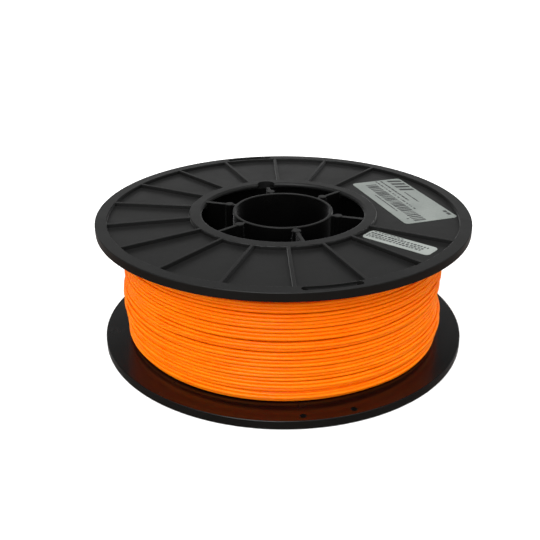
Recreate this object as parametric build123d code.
from build123d import *
import os
from math import atan2, cos, degrees, radians, sin, sqrt, tan

# Filament spool, millimetres.  +Z is the spool's axis.  The origin is the centre of the face
# that the spool rests on, so the outer face of the lower half is at z = 0.  Angles are in
# degrees about +Z, from +X.

# Whole spool
FLANGE_RADIUS = 100.0
WIDTH = 71.0
MID_PLANE = WIDTH / 2

# Flange of each half: a flat web with a raised rim, a raised hub ring and radial ribs
RIM_THICKNESS = 4.7
PANEL_RECESS = 2.0
RIM_INNER_RADIUS = 93.7
RIM_EDGE_FILLET = 0.5
RIM_INNER_FILLET = 0.35
RIB_WIDTH = 1.6
RIB_PITCH = 20.0
RIB_START = 52.5
RIB_COUNT = 15
RIB_END_OVERLAP = 0.8
WALL_TOP_FILLET = 0.3

# Core of each half: half the winding drum, with an inward lip at the outer face
DRUM_RADIUS = 50.5
DRUM_WALL = 2.2
DRUM_INNER_RADIUS = DRUM_RADIUS - DRUM_WALL
LIP_INNER_RADIUS = 44.0
LIP_THICKNESS = 2.0
LIP_FILLET = 1.4
RING_FILLET = 0.6

# Spindle bore of each half
BORE_RADIUS = 25.5
BORE_WALL = 1.5
BORE_TUBE_RADIUS = BORE_RADIUS + BORE_WALL
BORE_EDGE_FILLET = 0.3

# Spokes from the bore tube to the drum, each with a tapered boss
SPOKE_COUNT = 6
SPOKE_PITCH = 360.0 / SPOKE_COUNT
FLIP_ANGLE = -77.5
SPOKE_WIDTH = 1.9
SPOKE_DROP = 0.2
BOSS_CENTRE_RADIUS = 30.7
BOSS_TIP_RADIUS = 2.2
BOSS_ROOT_RADIUS = 3.0

# Press-fit pins and sockets at the mid-plane, by spoke number counted from FLIP_ANGLE
PIN_SPOKES = (1, 2)
SOCKET_SPOKES = (4, 5)
PIN_RADIUS = 1.5
PIN_LENGTH = 6.0
PIN_TIP_CHAMFER = 0.4
SOCKET_DEPTH = 6.5

# Drive hole, cut into the lip and one spoke from the outer face
DRIVE_HOLE_RADIUS = 5.25
DRIVE_HOLE_CENTRE_RADIUS = 43.3
DRIVE_HOLE_ANGLE = FLIP_ANGLE + 180.0
DRIVE_HOLE_DEPTH = 14.0

# Filament-end slots in the rim, each with a through hole near either end
SLOT_ANGLES = (FLIP_ANGLE, FLIP_ANGLE + 180.0)
SLOT_RADIUS = 96.1
SLOT_WIDTH = 3.4
SLOT_DEPTH = 1.0
SLOT_HALF_SPAN = 7.4
END_HOLE_RADIUS = 1.6

# Filament
FILAMENT_DIAMETER = 1.75
WINDING_RADIUS = 86.3
WINDING_TURNS = 29
WINDING_BULGE = 0.8

# Free end of the filament, from the winding into a hole of the lower flange.  Each point of its
# route is a share of the way along the tangent and a height.
END_HOLE_ANGLE = SLOT_ANGLES[1] - SLOT_HALF_SPAN
END_START_RADIUS = WINDING_RADIUS + WINDING_BULGE + FILAMENT_DIAMETER / 2 + 0.3
END_ROUTE = ((0.0, 24.0), (0.5, 22.7), (0.97, 12.0), (1.0, 1.3))
END_BEND_SHARE = 0.45

# Labels stuck to the panel floors of the upper half
LABEL_THICKNESS = 0.2
PRODUCT_LABEL_SIZE = (68.8, 31.2)
PRODUCT_LABEL_CENTRE = (67.7, 20.1)
PRODUCT_LABEL_ANGLE = -71.2
BATCH_LABEL_SIZE = (37.8, 11.0)
BATCH_LABEL_CENTRE = (57.0, -41.6)
BATCH_LABEL_ANGLE = -39.2
LABEL_CORNER_RADIUS = 2.5


def polar(radius, angle, height=0.0):
    """Point at a radius and an angle in degrees about the spool's axis."""
    return (radius * cos(radians(angle)), radius * sin(radians(angle)), height)


def tube(outer_radius, inner_radius, bottom, top):
    """Ring about the spool's axis between two heights."""
    height = top - bottom
    ring = Circle(outer_radius) - Circle(inner_radius)
    return Pos(0, 0, bottom) * extrude(ring, height)


def radial_wall(inner_radius, outer_radius, width, angle, bottom, top):
    """Upright wall with a rounded top that runs outwards from the axis at an angle."""
    length = outer_radius - inner_radius
    middle = (inner_radius + outer_radius) / 2
    wall = Box(length, width, top - bottom, align=(Align.CENTER, Align.CENTER, Align.MIN))
    top_edges = wall.edges().filter_by(Axis.X).group_by(Axis.Z)[-1]
    return Rot(0, 0, angle) * Pos(middle, 0, bottom) * fillet(top_edges, WALL_TOP_FILLET)


def flange_and_drum():
    """Flange web, rim, hub ring and half drum, as one turned shape."""
    face = WIDTH
    floor = WIDTH - PANEL_RECESS
    inside = WIDTH - RIM_THICKNESS
    outline = Polyline(
        (LIP_INNER_RADIUS, face),
        (DRUM_RADIUS, face),
        (DRUM_RADIUS, floor),
        (RIM_INNER_RADIUS, floor),
        (RIM_INNER_RADIUS, face),
        (FLANGE_RADIUS, face),
        (FLANGE_RADIUS, inside),
        (DRUM_RADIUS, inside),
        (DRUM_RADIUS, MID_PLANE),
        (DRUM_INNER_RADIUS, MID_PLANE),
        (DRUM_INNER_RADIUS, face - LIP_THICKNESS),
        (LIP_INNER_RADIUS, face - LIP_THICKNESS),
        close=True,
    )
    profile = make_face(outline)
    rounds = (
        (LIP_INNER_RADIUS, face, LIP_FILLET),
        (DRUM_RADIUS, face, RING_FILLET),
        (RIM_INNER_RADIUS, face, RIM_INNER_FILLET),
        (FLANGE_RADIUS, face, RIM_EDGE_FILLET),
        (FLANGE_RADIUS, inside, RIM_EDGE_FILLET),
    )
    for x, y, radius in rounds:
        corner = profile.vertices().sort_by_distance((x, y, 0))[0]
        profile = fillet(corner, radius)
    return revolve(Plane.XZ * profile, Axis.Z)


def bore_tube():
    """Half of the tube that the spindle passes through."""
    body = tube(BORE_TUBE_RADIUS, BORE_RADIUS, MID_PLANE, WIDTH)
    mouth = body.edges().filter_by(GeomType.CIRCLE).group_by(Axis.Z)[-1]
    return fillet(mouth, BORE_EDGE_FILLET)


def ribs():
    """Radial ribs, left out where the product label goes."""
    bottom = WIDTH - PANEL_RECESS
    walls = []
    for number in range(RIB_COUNT):
        angle = RIB_START + number * RIB_PITCH
        start = DRUM_RADIUS - RIB_END_OVERLAP
        end = RIM_INNER_RADIUS + RIB_END_OVERLAP
        walls.append(radial_wall(start, end, RIB_WIDTH, angle, bottom, WIDTH))
    return walls


def spokes():
    """Six spokes, each with a boss that tapers towards the outer face."""
    shapes = []
    for number in range(SPOKE_COUNT):
        angle = FLIP_ANGLE + number * SPOKE_PITCH
        top = WIDTH - SPOKE_DROP
        start = BORE_TUBE_RADIUS - BORE_WALL / 2
        end = DRUM_INNER_RADIUS + DRUM_WALL / 2
        shapes.append(radial_wall(start, end, SPOKE_WIDTH, angle, MID_PLANE, top))
        boss = Cone(BOSS_ROOT_RADIUS, BOSS_TIP_RADIUS, WIDTH - MID_PLANE,
                    align=(Align.CENTER, Align.CENTER, Align.MIN))
        shapes.append(Pos(*polar(BOSS_CENTRE_RADIUS, angle, MID_PLANE)) * boss)
    return shapes


def spoke_axis_point(number, height):
    """Point on the axis of a spoke's boss."""
    angle = FLIP_ANGLE + number * SPOKE_PITCH
    return polar(BOSS_CENTRE_RADIUS, angle, height)


def pin(number):
    """Pin below the mid-plane, with a chamfered tip."""
    root = 1.0
    body = Cylinder(PIN_RADIUS, PIN_LENGTH + root, align=(Align.CENTER, Align.CENTER, Align.MIN))
    tip = body.edges().filter_by(GeomType.CIRCLE).sort_by(Axis.Z)[0]
    body = chamfer(tip, PIN_TIP_CHAMFER)
    return Pos(*spoke_axis_point(number, MID_PLANE - PIN_LENGTH)) * body


def socket(number):
    """Space above the mid-plane that takes the other half's pin."""
    space = Cylinder(PIN_RADIUS, SOCKET_DEPTH, align=(Align.CENTER, Align.CENTER, Align.MIN))
    return Pos(*spoke_axis_point(number, MID_PLANE)) * space


def drive_hole():
    """Space for a winder's drive pin, open at the outer face."""
    space = Cylinder(DRIVE_HOLE_RADIUS, DRIVE_HOLE_DEPTH, align=(Align.CENTER, Align.CENTER, Align.MAX))
    return Pos(*polar(DRIVE_HOLE_CENTRE_RADIUS, DRIVE_HOLE_ANGLE, WIDTH)) * space


def end_slot(angle):
    """Curved slot in the rim with a hole through the flange near each end."""
    centre_line = CenterArc((0, 0), SLOT_RADIUS, angle - SLOT_HALF_SPAN, 2 * SLOT_HALF_SPAN)
    groove = extrude(SlotArc(centre_line, SLOT_WIDTH), -SLOT_DEPTH)
    cuts = [Pos(0, 0, WIDTH) * groove]
    for side in (-1, 1):
        hole = Cylinder(END_HOLE_RADIUS, 4 * RIM_THICKNESS)
        cuts.append(Pos(*polar(SLOT_RADIUS, angle + side * SLOT_HALF_SPAN, WIDTH)) * hole)
    return cuts


def half_spool():
    """One moulded half, placed as the upper half."""
    body = flange_and_drum() + bore_tube() + ribs() + spokes()
    body += [pin(number) for number in PIN_SPOKES]
    body -= [socket(number) for number in SOCKET_SPOKES]
    body -= drive_hole()
    for angle in SLOT_ANGLES:
        body -= end_slot(angle)
    return body


def turned_over(half):
    """The same moulding turned half a turn about the flip axis in the mid-plane."""
    flip_axis = Axis((0, 0, MID_PLANE), polar(1, FLIP_ANGLE))
    return half.rotate(flip_axis, 180)


def winding():
    """The wound filament as one ring whose outside has a row for each turn."""
    bottom = RIM_THICKNESS
    top = WIDTH - RIM_THICKNESS
    pitch = (top - bottom) / WINDING_TURNS
    inner_edge = Line((DRUM_RADIUS, top), (DRUM_RADIUS, bottom))
    lower_edge = Line((DRUM_RADIUS, bottom), (WINDING_RADIUS, bottom))
    edges = [inner_edge, lower_edge]
    for turn in range(WINDING_TURNS):
        low = bottom + turn * pitch
        start = (WINDING_RADIUS, low)
        crest = (WINDING_RADIUS + WINDING_BULGE, low + pitch / 2)
        end = (WINDING_RADIUS, low + pitch)
        edges.append(ThreePointArc(start, crest, end))
    edges.append(Line((WINDING_RADIUS, top), (DRUM_RADIUS, top)))
    return revolve(Plane.XZ * make_face(edges), Axis.Z)


def end_route():
    """Points of the filament's free end, which leaves the winding at a tangent."""
    run = sqrt(SLOT_RADIUS ** 2 - END_START_RADIUS ** 2)
    start_angle = END_HOLE_ANGLE - degrees(atan2(run, END_START_RADIUS))
    start = Vector(*polar(END_START_RADIUS, start_angle))
    hole = Vector(*polar(SLOT_RADIUS, END_HOLE_ANGLE))
    return [start + (hole - start) * share + Vector(0, 0, height) for share, height in END_ROUTE]


def bend_radii(points):
    """Radius of the arc at each corner of a route, as large as its two runs allow."""
    radii = []
    for before, corner, after in zip(points, points[1:], points[2:]):
        shorter = min((corner - before).length, (after - corner).length)
        turn = (corner - before).get_angle(after - corner)
        radii.append(END_BEND_SHARE * shorter / tan(radians(turn / 2)))
    return radii


def filament_end():
    """Free end of the filament: straight runs joined by tangent arcs."""
    points = end_route()
    radii = bend_radii(points)
    path = FilletPolyline(*points, radius=radii)
    print("filament_end: radii", [round(radius, 1) for radius in radii], "length", round(path.length, 1))
    section = Plane(origin=points[0], z_dir=points[1] - points[0]) * Circle(FILAMENT_DIAMETER / 2)
    return sweep(section, path)


def label(size, centre, angle):
    """Thin label with rounded corners on a panel floor of the upper half."""
    floor = WIDTH - PANEL_RECESS
    sheet = extrude(RectangleRounded(size[0], size[1], LABEL_CORNER_RADIUS), LABEL_THICKNESS)
    return Pos(centre[0], centre[1], floor) * Rot(0, 0, angle) * sheet


def main():
    upper = half_spool()
    parts = {
        "upper_half": upper,
        "lower_half": turned_over(upper),
        "filament_winding": winding(),
        "filament_end": filament_end(),
        "product_label": label(PRODUCT_LABEL_SIZE, PRODUCT_LABEL_CENTRE, PRODUCT_LABEL_ANGLE),
        "batch_label": label(BATCH_LABEL_SIZE, BATCH_LABEL_CENTRE, BATCH_LABEL_ANGLE),
    }
    os.makedirs("parts", exist_ok=True)
    for name, shape in parts.items():
        export_step(shape, f"parts/{name}.step")


if __name__ == "__main__":
    main()
